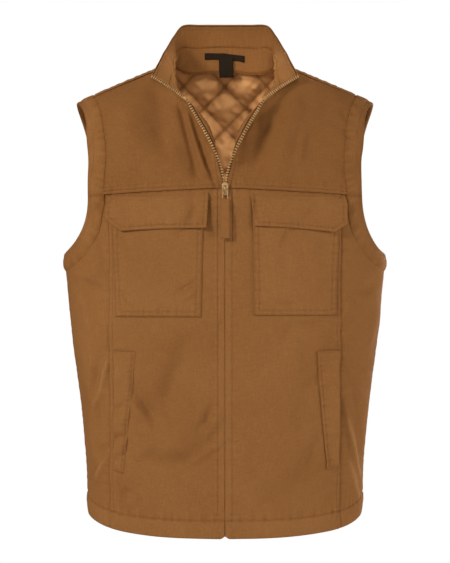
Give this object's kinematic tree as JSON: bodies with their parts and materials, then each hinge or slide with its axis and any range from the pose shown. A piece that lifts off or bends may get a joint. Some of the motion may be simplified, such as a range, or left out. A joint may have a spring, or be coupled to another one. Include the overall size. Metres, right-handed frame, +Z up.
{
  "type": "work vest",
  "caption": "Insulated sleeveless canvas work vest with stand collar, part-open front zip, flapped chest pockets and welted hand pockets over a quilted lining.",
  "frame": {"origin": "midway between the shoulders at the base of the neck, where the vest hangs on its wearer", "axes": "+Z up, -Y the front of the vest, +X the wearer's left"},
  "size_m": [0.502, 0.2839, 0.7971],
  "materials": {
    "duck": "matt woven cotton duck",
    "lining": "satin quilted taffeta",
    "zip_tape": "matt woven tape",
    "zip_teeth": "dull",
    "zip_metal": "satin",
    "label": "matt woven"
  },
  "bodies": {
    "vest": {"back_panel": "duck", "front_yoke_left": "duck", "front_panel_left": "duck", "side_panel_left": "duck", "front_yoke_right": "duck", "front_panel_right": "duck", "side_panel_right": "duck", "armhole_band_left": "duck", "armhole_band_right": "duck", "collar_outer": "duck", "neck_facing": "duck", "collar_facing": "duck", "zip_chain_left": "zip_teeth", "zip_tape_left": "zip_tape", "zip_chain_right": "zip_teeth", "zip_tape_right": "zip_tape", "front_facing_left": "duck", "front_facing_right": "duck", "lining_front_left": "lining", "lining_front_right": "lining", "lining_back": "lining", "chest_pocket_left": "duck", "pocket_flap_left": "duck", "hand_pocket_welt_left": "duck", "chest_pocket_right": "duck", "pocket_flap_right": "duck", "hand_pocket_welt_right": "duck", "neck_label": "label", "size_label": "label", "zip_slider": "zip_metal", "zip_stop": "zip_metal"},
    "pull": {"zip_puller": "zip_metal", "zip_pull_tab": "duck"}
  },
  "joints": [
    {"name": "zip_pull_swing", "type": "hinge", "parent": "vest", "child": "pull", "pos_m": [0, -0.1372, -0.197], "axis": [-1, 0, 0], "range_deg": [0, 160]}
  ]
}
